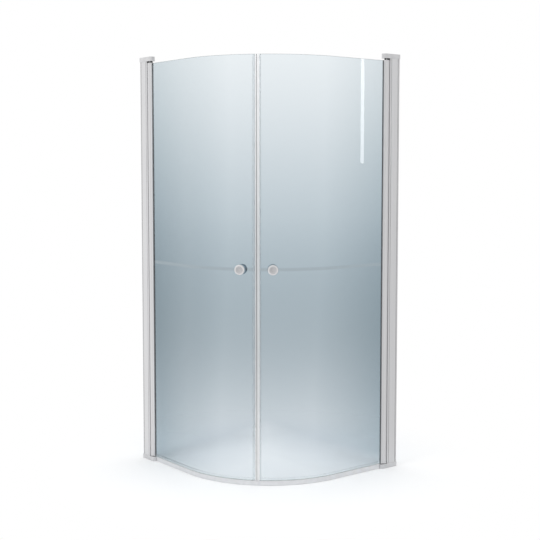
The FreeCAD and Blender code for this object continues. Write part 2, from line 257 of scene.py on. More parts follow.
def new_finish(name, **settings):
    """A material whose shader has these constant values."""
    material = bpy.data.materials.new(name)
    material.use_nodes = True
    shader = material.node_tree.nodes["Principled BSDF"]
    for label, value in settings.items():
        shader.inputs[label.replace("_", " ")].default_value = value
    return material, material.node_tree, shader


def own_place(tree):
    """Where a point lies in the coordinates of its own object."""
    return tree.nodes.new("ShaderNodeTexCoord").outputs["Object"]


def floor_finish():
    material, tree, matt = new_finish("pale_floor", Base_Color=(0.97, 0.973, 0.977, 1), Roughness=0.9,
                                      Specular_IOR_Level=0.0)
    place = own_place(tree)
    room = room_strength(tree, vector(tree, "NORMALIZE", place)["Vector"])
    lift = number(tree, "MULTIPLY", any_ray(tree, white_rays), number(tree, "SUBTRACT", 1.0, room))
    plain = tree.nodes.new("ShaderNodeEmission")
    feed(tree, plain.inputs["Color"], (1, 1, 1, 1))
    feed(tree, plain.inputs["Strength"], number(tree, "ADD", room, lift))
    distance = vector(tree, "LENGTH", place)["Value"]
    fade = spread(tree, distance, 0.0, 1.0, floor_near, floor_far, smooth=True)
    whiten = number(tree, "MULTIPLY", fade, any_ray(tree, white_rays + mirror_rays))
    choice = blend_shaders(tree, whiten, matt, plain)
    tree.links.new(choice.outputs[0], tree.nodes["Material Output"].inputs["Surface"])
    return material


pale_floor = floor_finish()
print("floor finish:", pale_floor.name, "matt to", floor_near, "m")

# %% Lay the floor
floor_size = 60.0
floor_drop = 0.0004         # keeps the sheet from falling together with the feet of the caps
reach = floor_size / 2
floor_mesh = bpy.data.meshes.new("floor")
floor_corners = [(-reach, -reach, 0), (reach, -reach, 0), (reach, reach, 0), (-reach, reach, 0)]
floor_mesh.from_pydata(floor_corners, [], [(0, 1, 2, 3)])
floor_mesh.materials.append(pale_floor)
floor = add_object("floor", floor_mesh)
floor.location.z = cad_low.z - floor_drop
print("floor", floor_size, "m wide")

# %% [markdown]
# ## The lamps
# Three large soft boxes stand round the object, as in a plain product studio: a key on the left, a fill
# on the right and a weak one above. They give light and shadow, but no hard patches in the glass, so
# reflections don't show them. A thin upright tube on the right does the opposite: it only shows as a
# bright streak in the pane. The streak could be painted on the glass, but then it would stay there when
# the door swings open.

# %% Hang the lamps
studio_aim = Vector((0, 0, 1.0))


def soft_box(name, place, width, height, power, aim=studio_aim):
    lamp = bpy.data.lights.new(name, "AREA")
    lamp.shape = "RECTANGLE"
    lamp.size = width
    lamp.size_y = height
    lamp.energy = power
    item = add_object(name, lamp)
    item.location = place
    item.rotation_euler = (aim - item.location).to_track_quat("-Z", "Y").to_euler()
    item.visible_camera = False
    item.visible_transmission = False
    item.visible_glossy = False
    print(name, power, "W")
    return item


soft_box("key_box", (0.6, -4.6, 3.0), width=2.4, height=2.4, power=95)
soft_box("fill_box", (4.8, 0.4, 2.4), width=2.4, height=2.4, power=70)
soft_box("top_box", (-0.2, 0.2, 4.6), width=3.0, height=3.0, power=60)
tube = soft_box("tube_light", (2.64, 2.27, 1.9), width=0.026, height=0.80, power=0.335,
                aim=Vector((0.437, 0.221, 1.9)))
tube.visible_glossy = True
tube.visible_diffuse = False

# %% [markdown]
# ## Shared surface effects
# Four small effects come back in several finishes. Their nodes could be copied from finish to finish, but
# a node group is built once and takes other values in every place. Drawn lines are the fine upright marks
# that a die leaves on an extruded bar. Grain is the fine mottle of cast metal and moulded plastic. Haze
# is a slow change from place to place, as handling and wiping leave on any surface. Painted pane shade is
# painted shade for the milky strips at the seam, the same grey that is painted into the panes: full in
# the middle of the height, and none at foot and top.

# %% Build the line effect


def effect_group(name, inputs, output):
    """An empty node group with number inputs and one number output."""
    tree = bpy.data.node_groups.new(name, "ShaderNodeTree")
    for label, value in inputs.items():
        socket = tree.interface.new_socket(label, in_out="INPUT", socket_type="NodeSocketFloat")
        socket.default_value = value
    tree.interface.new_socket(output, in_out="OUTPUT", socket_type="NodeSocketFloat")
    return tree, tree.nodes.new("NodeGroupInput").outputs, tree.nodes.new("NodeGroupOutput").inputs


def noise(tree, place, scale, detail):
    node = tree.nodes.new("ShaderNodeTexNoise")
    for label, value in (("Vector", place), ("Scale", scale), ("Detail", detail)):
        feed(tree, node.inputs[label], value)
    return node.outputs["Fac"]


def drawn_lines_group():
    """Noise that is stretched along the height."""
    tree, given, result = effect_group("Drawn lines", {"Spacing": 0.0015, "Length": 1.0}, "Lines")
    across = number(tree, "DIVIDE", 1.0, given["Spacing"])
    along = number(tree, "DIVIDE", 1.0, given["Length"])
    stretch = tree.nodes.new("ShaderNodeCombineXYZ")
    for axis, value in (("X", across), ("Y", across), ("Z", along)):
        feed(tree, stretch.inputs[axis], value)
    place = vector(tree, "MULTIPLY", own_place(tree), stretch.outputs[0])["Vector"]
    tree.links.new(noise(tree, place, 1.0, 3.0), result["Lines"])
    return tree


drawn_lines = drawn_lines_group()
print("effect:", drawn_lines.name, len(drawn_lines.nodes), "nodes")

# %% Build the spot effects and the painted pane shade


def spot_group(name, size, detail):
    """Noise of an even size in all directions."""
    tree, given, result = effect_group(name, {"Size": size}, name)
    scale = number(tree, "DIVIDE", 1.0, given["Size"])
    tree.links.new(noise(tree, own_place(tree), scale, detail), result[name])
    return tree


def own_axes(tree):
    """The three coordinates of a point in its own object."""
    axes = tree.nodes.new("ShaderNodeSeparateXYZ")
    tree.links.new(own_place(tree), axes.inputs[0])
    return axes.outputs


# painted shade for the seam strips, the same as in the panes
def painted_pane_shade_group():
    """A value that is 1 between two heights and falls to 0 at the foot and the top."""
    heights = {"Foot": 0.1, "Lower": 0.6, "Upper": 1.1, "Top": 1.9}
    tree, given, result = effect_group("Pane cast", heights, "Cast")
    height = own_axes(tree)["Z"]
    from_foot = spread(tree, height, 0.0, 1.0, given["Foot"], given["Lower"])
    from_top = spread(tree, height, 0.0, 1.0, given["Top"], given["Upper"])
    tree.links.new(number(tree, "MULTIPLY", from_foot, from_top), result["Cast"])
    return tree


grain = spot_group("Grain", 0.0006, 2.0)
haze = spot_group("Haze", 0.2, 3.0)
painted_pane_shade = painted_pane_shade_group()
print("effects:", [group.name for group in (grain, haze, painted_pane_shade)])

# %% [markdown]
# ## Helpers for finishes
# A finish is one Principled shader with a few values that change over the surface. These helpers place an
# effect, mix two tones by it, lead colour and roughness into the shader, or turn an effect into a slight
# relief. The last one is for clear materials: shadow rays go straight through them, tinted, because light
# that is bent on its way through thick glass would need far more samples to reach what stands behind it.

# %% Place effects and mix tones


def effect(tree, group, **values):
    """A shared effect with its own values for this finish."""
    node = tree.nodes.new("ShaderNodeGroup")
    node.node_tree = group
    for label, value in values.items():
        node.inputs[label].default_value = value
    return node.outputs[0]


def mix_colours(tree, factor, first, second, way="MIX"):
    """A Mix node on two colours, each a socket or a plain colour."""
    node = tree.nodes.new("ShaderNodeMix")
    node.data_type = "RGBA"
    node.blend_type = way
    feed(tree, node.inputs[0], factor)
    colours = [socket for socket in node.inputs if socket.type == "RGBA"]
    for socket, colour in zip(colours, (first, second)):
        feed(tree, socket, (*colour, 1) if isinstance(colour, tuple) else colour)
    return next(socket for socket in node.outputs if socket.type == "RGBA")


def tones(tree, value, dark, pale):
    """A colour between two tones, by an effect."""
    return mix_colours(tree, spread(tree, value, 0.0, 1.0), dark, pale)


print("mixing helpers:", effect.__name__, mix_colours.__name__, tones.__name__)

# %% Lead values into the shader


def paint(tree, shader, shade, gloss):
    """Lead a colour and a roughness into the shader."""
    tree.links.new(shade, shader.inputs["Base Color"])
    tree.links.new(gloss, shader.inputs["Roughness"])


def relief(tree, shader, height, depth):
    """Let a value stand up from the surface by a depth in metres."""
    bump = tree.nodes.new("ShaderNodeBump")
    bump.inputs["Distance"].default_value = depth
    bump.inputs["Strength"].default_value = 1.0
    tree.links.new(height, bump.inputs["Height"])
    tree.links.new(bump.outputs["Normal"], shader.inputs["Normal"])


def let_light_through(tree, shader, tint):
    """Let shadow rays pass a clear material in a straight line."""
    straight = tree.nodes.new("ShaderNodeBsdfTransparent")
    straight.inputs["Color"].default_value = (*tint, 1)
    choice = blend_shaders(tree, any_ray(tree, ("Is Shadow Ray",)), shader, straight)
    tree.links.new(choice.outputs[0], tree.nodes["Material Output"].inputs["Surface"])


print("shader helpers:", paint.__name__, relief.__name__, let_light_through.__name__)

# %% [markdown]
# ## Aluminium and cast metal
# The posts and stiles are extruded and satin anodised. The die draws fine upright lines, which change the
# gloss more than the colour, so the line effect leads both the roughness and a slight relief. The wall
# channels and the grooves of the posts take a rougher mill finish in darker tones, which are painted
# shade: the shade in the step beside the channel and inside the grooves. The caps are die-cast, so they
# have an even fine grain instead of lines, and the screws and pins are plain steel.

# %% Finish the extruded aluminium


def satin_aluminium():
    material, tree, shader = new_finish("satin_aluminium", Metallic=1.0)
    lines = effect(tree, drawn_lines, Spacing=0.0012, Length=0.6)
    cloud = effect(tree, haze, Size=0.25)
    gloss = number(tree, "ADD", spread(tree, lines, 0.30, 0.38), spread(tree, cloud, 0.0, 0.06))
    paint(tree, shader, tones(tree, lines, (0.62, 0.62, 0.63), (0.69, 0.69, 0.70)), gloss)
    relief(tree, shader, lines, 0.00002)
    return material


# a rougher mill finish; its darker tones are painted shade
def mill_aluminium(name, dark, pale):
    material, tree, shader = new_finish(name, Metallic=1.0)
    lines = effect(tree, drawn_lines, Spacing=0.002, Length=0.8)
    paint(tree, shader, tones(tree, lines, dark, pale), spread(tree, lines, 0.42, 0.54))
    relief(tree, shader, lines, 0.00003)
    return material


finish = {"aluminium": satin_aluminium()}
# darker tones here are painted shade: the step beside the wall channel and the inside of the post grooves
channel_mill_and_shade_finish = mill_aluminium("mill_aluminium", (0.52, 0.52, 0.53), (0.58, 0.58, 0.59))
groove_shade_finish = mill_aluminium("dull_groove", (0.33, 0.33, 0.335), (0.39, 0.39, 0.395))
print("aluminium:", finish["aluminium"].name, channel_mill_and_shade_finish.name, groove_shade_finish.name)

# %% Finish the caps and the steel


def cast_metal():
    material, tree, shader = new_finish("cast_metal", Metallic=1.0)
    spots = effect(tree, grain, Size=0.0011)
    cloud = effect(tree, haze, Size=0.03)
    shade = tones(tree, cloud, (0.60, 0.60, 0.61), (0.67, 0.67, 0.68))
    paint(tree, shader, shade, spread(tree, spots, 0.34, 0.44))
    relief(tree, shader, spots, 0.00003)
    return material


def plain_steel():
    material, tree, shader = new_finish("plain_steel", Metallic=1.0)
    spots = effect(tree, grain, Size=0.0008)
    cloud = effect(tree, haze, Size=0.012)
    shade = tones(tree, cloud, (0.50, 0.50, 0.51), (0.60, 0.60, 0.60))
    paint(tree, shader, shade, spread(tree, spots, 0.2, 0.34))
    return material


finish["cap_metal"] = cast_metal()
finish["steel"] = plain_steel()
print("cast and plain metal:", finish["cap_metal"].name, finish["steel"].name)

# %% [markdown]
# ## Plastic and rubber
# The upper bushes are black and glossy, the lower ones grey, and the screw covers pale grey. The gasket
# is dark rubber, drawn through a die like the posts, so it takes the same line effect with a finer
# spacing. The wiper in the hinge is the same rubber in grey. The clip at the foot of a door is clear and
# firm. The legs of the seam strip are softer, and their hazy plastic bends the light more. The skirt and
# the box of the seam strip are milky. They could be see-through too, but light hardly passes a milky
# plastic this thick, so a solid colour does the same. The box and its front carry painted shade: the
# grey painted into the panes beside them, and on the front the shade of the gap where the boxes meet.

# %% Finish the moulded plastics


def moulded(name, dark, pale, smooth, rough, grain_size):
    """An opaque plastic with a fine grain."""
    material, tree, shader = new_finish(name, IOR=1.48)
    spots = effect(tree, grain, Size=grain_size)
    cloud = effect(tree, haze, Size=0.02)
    paint(tree, shader, tones(tree, cloud, dark, pale), spread(tree, spots, smooth, rough))
    relief(tree, shader, spots, 0.00002)
    return material


finish["cover_plastic"] = moulded("pale_cover", (0.60, 0.60, 0.61), (0.66, 0.66, 0.67),
                                  smooth=0.38, rough=0.5, grain_size=0.0007)
finish["bush_plastic"] = moulded("black_bush", (0.010, 0.010, 0.011), (0.02, 0.02, 0.021),
                                 smooth=0.16, rough=0.28, grain_size=0.0006)
finish["sweep_plastic"] = moulded("milky_skirt", (0.60, 0.605, 0.62), (0.66, 0.665, 0.68),
                                  smooth=0.3, rough=0.42, grain_size=0.0009)
# grey for the lower bushes, and painted highlight on the ribs of the upper bushes
bush_grey_and_highlight_finish = moulded("grey_bush", (0.24, 0.24, 0.245), (0.30, 0.30, 0.305),
                           smooth=0.3, rough=0.42, grain_size=0.0006)
print("moulded:", [finish[slot].name for slot in ("cover_plastic", "bush_plastic", "sweep_plastic")])

# %% Finish the rubbers


def drawn_rubber(name, dark, pale):
    material, tree, shader = new_finish(name, IOR=1.5)
    lines = effect(tree, drawn_lines, Spacing=0.0008, Length=0.3)
    paint(tree, shader, tones(tree, lines, dark, pale), spread(tree, lines, 0.5, 0.66))
    relief(tree, shader, lines, 0.00003)
    return material


finish["gasket_rubber"] = drawn_rubber("gasket_rubber", (0.18, 0.181, 0.184), (0.22, 0.221, 0.225))
finish["magnet_strip"] = drawn_rubber("magnet_bar", (0.068, 0.068, 0.07), (0.10, 0.10, 0.102))
wiper_finish = drawn_rubber("grey_wiper", (0.60, 0.60, 0.605), (0.68, 0.68, 0.685))
print("rubber:", finish["gasket_rubber"].name, finish["magnet_strip"].name, wiper_finish.name)

# %% Finish the clips and the seam strips


def clear_plastic(name, dark, pale, smooth, rough, index):
    """A see-through plastic with the slow haze of a soft extrusion."""
    material, tree, shader = new_finish(name, IOR=index, Transmission_Weight=1.0)
    cloud = effect(tree, haze, Size=0.04)
    paint(tree, shader, tones(tree, cloud, dark, pale), spread(tree, cloud, smooth, rough))
    let_light_through(tree, shader, dark)
    return material


def seam_plastic(name, clear, full):
    """An opaque plastic beside the panes, from its own tone to its tone under the full painted shade."""
    material, tree, shader = new_finish(name, IOR=1.48)
    spots = effect(tree, grain, Size=0.0009)
    worn = tones(tree, effect(tree, haze, Size=0.02), (0.94, 0.94, 0.94), (1.0, 1.0, 1.0))
    toned = mix_colours(tree, effect(tree, painted_pane_shade), clear, full)
    shade = mix_colours(tree, 1.0, toned, worn, "MULTIPLY")
    paint(tree, shader, shade, spread(tree, spots, 0.28, 0.4))
    relief(tree, shader, spots, 0.00002)
    return material


finish["clear_plastic"] = clear_plastic("clear_clip", (0.97, 0.98, 0.98), (0.99, 1.0, 1.0),
                                        smooth=0.02, rough=0.06, index=1.46)
soft_clip_finish = clear_plastic("soft_clip", (0.91, 0.92, 0.925), (0.94, 0.95, 0.955),
                                 smooth=0.1, rough=0.2, index=1.75)
# the milky box turns grey in the middle of its height: painted shade, the same as in the panes
milky_box_finish = seam_plastic("milky_box", (0.72, 0.725, 0.73), (0.52, 0.53, 0.54))
# the front of the box is painted shade of the gap where the boxes meet, darkened further by the painted shade of
# the panes
seam_gap_shade_finish = seam_plastic("dark_front", (0.32, 0.32, 0.32), (0.055, 0.055, 0.057))
print("clips and strips:", finish["clear_plastic"].name, soft_clip_finish.name, milky_box_finish.name)

# %% [markdown]
# ## Glass
# The panes are 6 mm toughened glass with a cool grey tint, and with painted shade on top of it: the shade
# of a room seen through the glass, painted into the glass colour. It is strongest in the lower half,
# towards the posts and more to the left of the seam, and near the floor it gives way to painted light,
# for a pale floor seen through the glass. A faint band, about a finger wide, runs across both doors at
# the height of the knobs: it is darker and a little rougher. Thin glass is often faked with plain
# transparency, but the shader here is real refracting glass, because the panes have their true thickness.
# The tint and the painted shade are a colour on Object coordinates. The long edges are ground: they are
# rough, and let only a little light through.

# %% Colour the glass and paint its shade by height and side
least_shade_low = 0.06            # lightest place of the painted shade near the floor, to the right of the seam
least_shade_high = 0.12           # and from the middle of the height upwards
# the grey tint of the glass with painted shade, by height: darkest low down, painted light near the floor and at
# the top
tint_and_shade_stops = ((0.00, (0.74, 0.79, 0.83)), (0.10, (0.66, 0.72, 0.77)), (0.34, (0.285, 0.355, 0.395)),
              (0.62, (0.450, 0.538, 0.596)), (1.00, (0.908, 0.949, 0.970)))
# painted shade towards the posts
painted_side_shade = (0.505, 0.578, 0.610)


def tint_and_shade_by_height(tree, level):
    """The tint of the panes with painted shade, from the floor to the top."""
    ramp = tree.nodes.new("ShaderNodeValToRGB")
    ramp.color_ramp.interpolation = "B_SPLINE"
    elements = ramp.color_ramp.elements
    for place, colour in tint_and_shade_stops[1:-1]:
        elements.new(place)
    for element, (place, colour) in zip(elements, tint_and_shade_stops):
        element.position = place
        element.color = (*colour, 1)
    tree.links.new(level, ramp.inputs["Fac"])
    return ramp.outputs["Color"]


def off_middle(tree, axes, level):
    """How far a point lies to either side of the lightest place of the painted shade at its height."""
    sideways = number(tree, "ADD", axes["X"], axes["Y"])
    middle = spread(tree, level, least_shade_low, least_shade_high, 0.2, 0.6)
    return number(tree, "ABSOLUTE", number(tree, "SUBTRACT", sideways, middle))


def paint_shade_aside(tree, cast, aside, level):
    """Paint more shade towards the posts, most of all low down."""
    depth = spread(tree, aside, 0.0, 1.0, 0.3, 0.9)
    depth = number(tree, "MULTIPLY", depth, spread(tree, level, 1.25, 0.6, 0.2, 1.0))
    return mix_colours(tree, depth, cast, painted_side_shade, "MULTIPLY")


print("cast:", len(tint_and_shade_stops), "tones from the floor to the top")

# %% Paint light at the foot and draw a darker, rougher band
# painted light near the floor, for a pale floor seen through the glass
foot_painted_light = (0.93, 0.955, 0.97)
foot_slope = 0.33           # the painted light at the foot sinks by this much of the way to the side
knob_height = 1.0
satin_line = 0.015          # height of the darker, rougher band
satin_full = 0.35           # full up to this share of its height, above and below the middle
satin_none = 0.65           # and gone from here on
# darker tone of the band at knob height
knob_band_darkening = (0.33, 0.39, 0.425)


def paint_light_at_foot(tree, cast, aside, height):
    """Paint light near the floor over the painted shade, lower and lower towards the posts."""
    level = number(tree, "ADD", height, number(tree, "MULTIPLY", aside, foot_slope))
    return mix_colours(tree, spread(tree, level, 0.9, 0.0, 0.14, 0.32), cast, foot_painted_light)


def on_satin_line(tree, height):
    """A value that is 1 on the darker, rougher band at knob height."""
    offset = number(tree, "ABSOLUTE", number(tree, "SUBTRACT", height, knob_height))
    return spread(tree, offset, 1.0, 0.0, satin_line * satin_full, satin_line * satin_none)


print("satin line at", knob_height, "m,", satin_line, "m high")

# %% Finish the glass


def bowed_glass():
    material, tree, shader = new_finish("bowed_glass", IOR=1.5, Transmission_Weight=1.0)
    axes = own_axes(tree)
    level = spread(tree, axes["Z"], 0.0, 1.0, cad_low.z, cad_high.z)
    aside = off_middle(tree, axes, level)
    # the colour is the grey tint of the glass with painted shade and painted light; a darker band crosses it at
    # knob height
    cast = paint_shade_aside(tree, tint_and_shade_by_height(tree, level), aside, level)
    tint = paint_light_at_foot(tree, cast, aside, axes["Z"])
    line = on_satin_line(tree, axes["Z"])
    shade = mix_colours(tree, spread(tree, line, 0.0, 0.6, 0.0, 1.0), tint, knob_band_darkening)
    wiped = spread(tree, effect(tree, haze, Size=0.3), 0.0, 0.012)
    satin = spread(tree, line, 0.0, 0.12, 0.0, 1.0)
    paint(tree, shader, shade, number(tree, "ADD", wiped, satin))
    let_light_through(tree, shader, (0.80, 0.84, 0.86))
    return material


def ground_glass():
    material, tree, shader = new_finish("ground_edge", IOR=1.5, Transmission_Weight=0.25)
    spots = effect(tree, grain, Size=0.0012)
    shade = tones(tree, spots, (0.22, 0.27, 0.28), (0.32, 0.37, 0.38))
    paint(tree, shader, shade, spread(tree, spots, 0.45, 0.6))
    relief(tree, shader, spots, 0.00003)
    return material


finish["glass"] = bowed_glass()
ground_edge_finish = ground_glass()
print("glass:", finish["glass"].name, ground_edge_finish.name)

# %% [markdown]
# ## Polished knobs
# The knobs are turned from metal and polished. The dish in the middle of each face is left satin, with
# the fine rings of the turning tool. The inner knobs, which are seen through the panes, take a much
# lighter tone than the outer ones: painted light that makes up for the light the panes take from them.
# Rings follow the piece and not the space around it, so that finish can't use Object coordinates as the
# others do. It reads the UV map which the turned mesh carries: one axis goes round the knob, the
# other along its outline.

# %% Finish the knobs
ring_stretch = (2.0, 900.0, 1.0)


def polished_metal(name, dark, pale):
    material, tree, shader = new_finish(name, Metallic=1.0)
    cloud = effect(tree, haze, Size=0.02)
    paint(tree, shader, tones(tree, cloud, dark, pale), spread(tree, cloud, 0.08, 0.14))
    return material


def turned_metal():
    material, tree, shader = new_finish("turned_dish", Metallic=1.0)
    stretch = tree.nodes.new("ShaderNodeMapping")
    stretch.inputs["Scale"].default_value = ring_stretch
    tree.links.new(tree.nodes.new("ShaderNodeTexCoord").outputs["UV"], stretch.inputs["Vector"])
    rings = noise(tree, stretch.outputs[0], 1.0, 2.0)
    shade = tones(tree, rings, (0.45, 0.45, 0.46), (0.57, 0.57, 0.58))
    paint(tree, shader, shade, spread(tree, rings, 0.26, 0.4))
    relief(tree, shader, rings, 0.00003)
    return material


finish["knob_chrome"] = polished_metal("polished_knob", (0.64, 0.64, 0.65), (0.70, 0.70, 0.71))
# the same polished metal as the outer knobs, with painted light for being seen through the glass
inner_knob_lightened_finish = polished_metal("bright_knob", (0.86, 0.86, 0.87), (0.92, 0.92, 0.93))
knob_dish_finish = turned_metal()
print("knobs:", finish["knob_chrome"].name, inner_knob_lightened_finish.name, knob_dish_finish.name)

# %% [markdown]
# ## Dress the measured solids
# Every solid names its material slot in the record. Each could get its finish by hand, but one loop over
# the record forgets none. Two kinds of piece differ from the others in their slot: the wall channels take
# the darker mill finish with painted shade, and the lower bushes are grey.

# %% Give every solid its finish
for part in frame["record"]["subparts"]:
    nodes[part["node"]].material_slots[0].material = finish[part["material_slot"]]
for node, material in (("wall_channel", channel_mill_and_shade_finish), ("bottom_bush", bush_grey_and_highlight_finish)):
    for side in ("left_", "right_"):
        nodes[side + node].material_slots[0].material = material

# %% [markdown]
# ## A tool that draws a section along a door
# The pane, the clip and the skirt all have one section from the hinge to the seam. A bend modifier could
# bow a straight piece, but it bends the whole of it. So one Geometry Nodes tree makes them all: it takes
# a straight line as long as the piece, rolls the far part of it onto the bow, and draws the section along
# it. The rule is short: a point goes straight on up to the flat length, and what is left of its distance
# becomes an angle about the centre of the bow.

# %% Start and end a tree


def shape_tree(name, sockets):
    """An empty Geometry Nodes tree with named inputs."""
    tree = bpy.data.node_groups.new(name, "GeometryNodeTree")
    tree.is_modifier = True
    for label, kind in sockets.items():
        tree.interface.new_socket(label, in_out="INPUT", socket_type="NodeSocket" + kind)
    tree.interface.new_socket("Mesh", in_out="OUTPUT", socket_type="NodeSocketGeometry")
    return tree, tree.nodes.new("NodeGroupInput").outputs, tree.nodes.new("NodeGroupOutput").inputs


def step(tree, kind, mode=None, **links):
    """A node whose inputs are linked to sockets or set to values, by name."""
    node = tree.nodes.new(kind)
    if mode:
        node.mode = mode
    for label, value in links.items():
        feed(tree, node.inputs[label.replace("_", " ")], value)
    return node


def end_tree(tree, result, geometry, material):
    """Close a tree: real geometry, with its finish."""
    real = step(tree, "GeometryNodeRealizeInstances", Geometry=geometry)
    dressed = step(tree, "GeometryNodeSetMaterial", Geometry=real.outputs[0], Material=material)
    tree.links.new(dressed.outputs[0], result["Mesh"])


print("tree helpers:", shape_tree.__name__, step.__name__, end_tree.__name__)

# %% Build the drawing tree


def bowed_place(tree, given):
    """Where a point of the straight line goes on the door."""
    place = tree.nodes.new("GeometryNodeInputPosition").outputs[0]
    along = step(tree, "ShaderNodeSeparateXYZ", Vector=place)
    straight = number(tree, "MINIMUM", along.outputs["X"], given["Flat Length"])
    rest = number(tree, "SUBTRACT", along.outputs["X"], straight)
    turned = number(tree, "DIVIDE", rest, given["Bow Radius"])
    over = number(tree, "MULTIPLY", given["Bow Radius"], number(tree, "SINE", turned))
    level = number(tree, "SUBTRACT", 1.0, number(tree, "COSINE", turned))
    x = number(tree, "ADD", number(tree, "ADD", given["Start X"], straight), over)
    y = number(tree, "ADD", given["Line Y"], number(tree, "MULTIPLY", given["Bow Radius"], level))
    return step(tree, "ShaderNodeCombineXYZ", X=x, Y=y).outputs[0]


def door_drawing_tree():
    tree, given, result = shape_tree("Draw along the door", {
        "Section": "Object", "Start X": "Float", "Line Y": "Float", "Flat Length": "Float",
        "Bow Length": "Float", "Bow Radius": "Float", "Steps": "Int", "Material": "Material"})
    length = number(tree, "ADD", given["Flat Length"], given["Bow Length"])
    end = step(tree, "ShaderNodeCombineXYZ", X=length)
    line = step(tree, "GeometryNodeCurvePrimitiveLine", End=end.outputs[0])
    fine = step(tree, "GeometryNodeResampleCurve", Curve=line.outputs[0], Count=given["Steps"])
    place = bowed_place(tree, given)
    bent = step(tree, "GeometryNodeSetPosition", Geometry=fine.outputs[0], Position=place)
    level = step(tree, "GeometryNodeSetCurveNormal", mode="Z_UP", Curve=bent.outputs[0])
    section = step(tree, "GeometryNodeObjectInfo", Object=given["Section"])
    turned = step(tree, "GeometryNodeTransform", Geometry=section.outputs["Geometry"], Scale=(1, -1, 1))
    drawn = step(tree, "GeometryNodeCurveToMesh", Curve=level.outputs[0], Profile_Curve=turned.outputs[0],
                 Fill_Caps=True)
    end_tree(tree, result, drawn.outputs[0], given["Material"])
    return tree


door_drawing = door_drawing_tree()
print("tree:", door_drawing.name, len(door_drawing.nodes), "nodes")

# %% [markdown]
# ## From a tree to a plain mesh
# A section is a closed flat outline. A modifier could stay live on its object, but the pieces are cut,
# joined and mirrored later, and a plain mesh makes that simple. Running a tree means three things: put it
# on an empty object, set its inputs by their identifiers before anything looks at the object, and keep
# the result as a mesh. The faces are turned outwards at the end, and only the real corners stay sharp.

# %% Draw outlines and tidy meshes
corner_degrees = 35         # edges that bend more than this stay sharp
merge_distance = 0.000001


def outline_object(name, *loops):
    """A curve object of closed straight-sided loops, for use as a section."""
    curve = bpy.data.curves.new(name, "CURVE")
    for points in loops:
        spline = curve.splines.new("POLY")
        spline.points.add(len(points) - 1)
        for point, (x, y) in zip(spline.points, points):
            point.co = (x, y, 0, 1)
        spline.use_cyclic_u = True
    return add_object(name, curve)


def tidy_mesh(mesh, sharp_degrees=corner_degrees):
    """Merge doubles, turn the faces outwards and shade smoothly up to an angle."""
    work = bmesh.new()
    work.from_mesh(mesh)
    bmesh.ops.remove_doubles(work, verts=work.verts, dist=merge_distance)
    bmesh.ops.recalc_face_normals(work, faces=work.faces)
    work.to_mesh(mesh)
    work.free()
    mesh.shade_smooth()
    mesh.set_sharp_from_angle(angle=math.radians(sharp_degrees))


print("edges over", corner_degrees, "degrees stay sharp")

# %% Run a tree


def plain_result(piece, modifier):
    """Put what a modifier makes in place of an object's own mesh."""
    made = piece.evaluated_get(bpy.context.evaluated_depsgraph_get())
    mesh = bpy.data.meshes.new_from_object(made)
    piece.modifiers.remove(modifier)
    piece.data = mesh
    return mesh


def run_tree(name, tree, values, start=None):
    """Run a tree and keep what it makes as a plain mesh."""
    piece = add_object(name, start or bpy.data.meshes.new(name))
    modifier = piece.modifiers.new("shape", "NODES")
    modifier.node_group = tree
    for item in tree.interface.items_tree:
        if item.name in values:
            modifier[item.identifier] = values[item.name]
    mesh = plain_result(piece, modifier)
    mesh.name = name
    if mesh.materials[0] is None:
        mesh.materials.pop(index=0)
    tidy_mesh(mesh)
    return piece


print("ready to run", door_drawing.name)

# %% Make a piece for both doors


def right_twin(left, name):
    """The mirror image of a piece of the left door."""
    mesh = left.data.copy()
    mesh.transform(mirror_plan)
    mesh.flip_normals()
    mesh.name = name
    return add_object(name, mesh)


def on_both_sides(left, node=None, fixed=False):
    """Hang a finished left piece and its twin on the doors or the frame, in place of their solids."""
    twin = right_twin(left, left.name.replace("left_", "right_"))
    for side, piece in (("left", left), ("right", twin)):
        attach(piece, "frame" if fixed else side + "_door")
        if node:
            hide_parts(f"{side}_{node}")
    print(left.name, "and twin:", len(left.data.polygons), "faces each")
    return twin


# %% [markdown]
# ## The panes
# A pane is flat near the hinge and bowed towards the seam. The measured solid has that shape already, but
# its facets would show in reflections, so the pane is drawn again with finer steps. Its long edges are
# ground, and the section has small bevels for them. Two extra points on each side of the section leave a
# band of short faces at knob height, where the hole for the stud is drilled, and keep its edges out of
# the large smooth faces.

# %% Draw the panes
fit_gap = 0.00004           # keeps touching surfaces from falling together
glass_bevel = 0.001
seam_gap = 0.0008
strip_depth = 0.0065        # closing strip in front of the glass edge
glass_back = seam_gap / 2 + strip_depth     # glass edge, back from the seam
hole_band = 0.018           # short faces above and below the hole
bow_full = line_radius * math.pi / 4
pane_steps = 100


def pane_section():
    half = glass_half - fit_gap
    flat = half - glass_bevel
    low = glass_low.z
    high = glass_high.z
    side = [(flat, low), (half, low + glass_bevel), (half, knob_height - hole_band),
            (half, knob_height + hole_band), (half, high - glass_bevel), (flat, high)]
    return outline_object("pane_section", side + [(-x, y) for x, y in reversed(side)])


def draw_on_door(name, section, start_x, end_back, steps, material):
    """Draw a section along the left door, from a place on the flat stretch to a distance from the seam."""
    piece = run_tree(name, door_drawing, {
        "Section": section, "Start X": start_x, "Line Y": line_y, "Flat Length": bow_centre.x - start_x,
        "Bow Length": bow_full - end_back, "Bow Radius": line_radius, "Steps": steps,
        "Material": material})
    bpy.data.objects.remove(section)
    return piece


pane_start = glass_low.x + fit_gap
pane = draw_on_door("left_pane", pane_section(), pane_start, glass_back, pane_steps, finish["glass"])
print("pane:", len(pane.data.polygons), "faces before drilling")

# %% Drill the panes and grind their edges
knob_back = 0.073           # knob axis, back from the seam
stud_hole = 0.010
drill_length = 0.03
hole_steps = 48
edge_slant = 0.5            # faces that look up or down by more than this belong to the ground edges


def along_axis(centre, direction):
    """The matrix that stands a shape on a point, with its own z along a direction."""
    return Matrix.Translation(centre) @ direction.to_track_quat("Z", "Y").to_matrix().to_4x4()


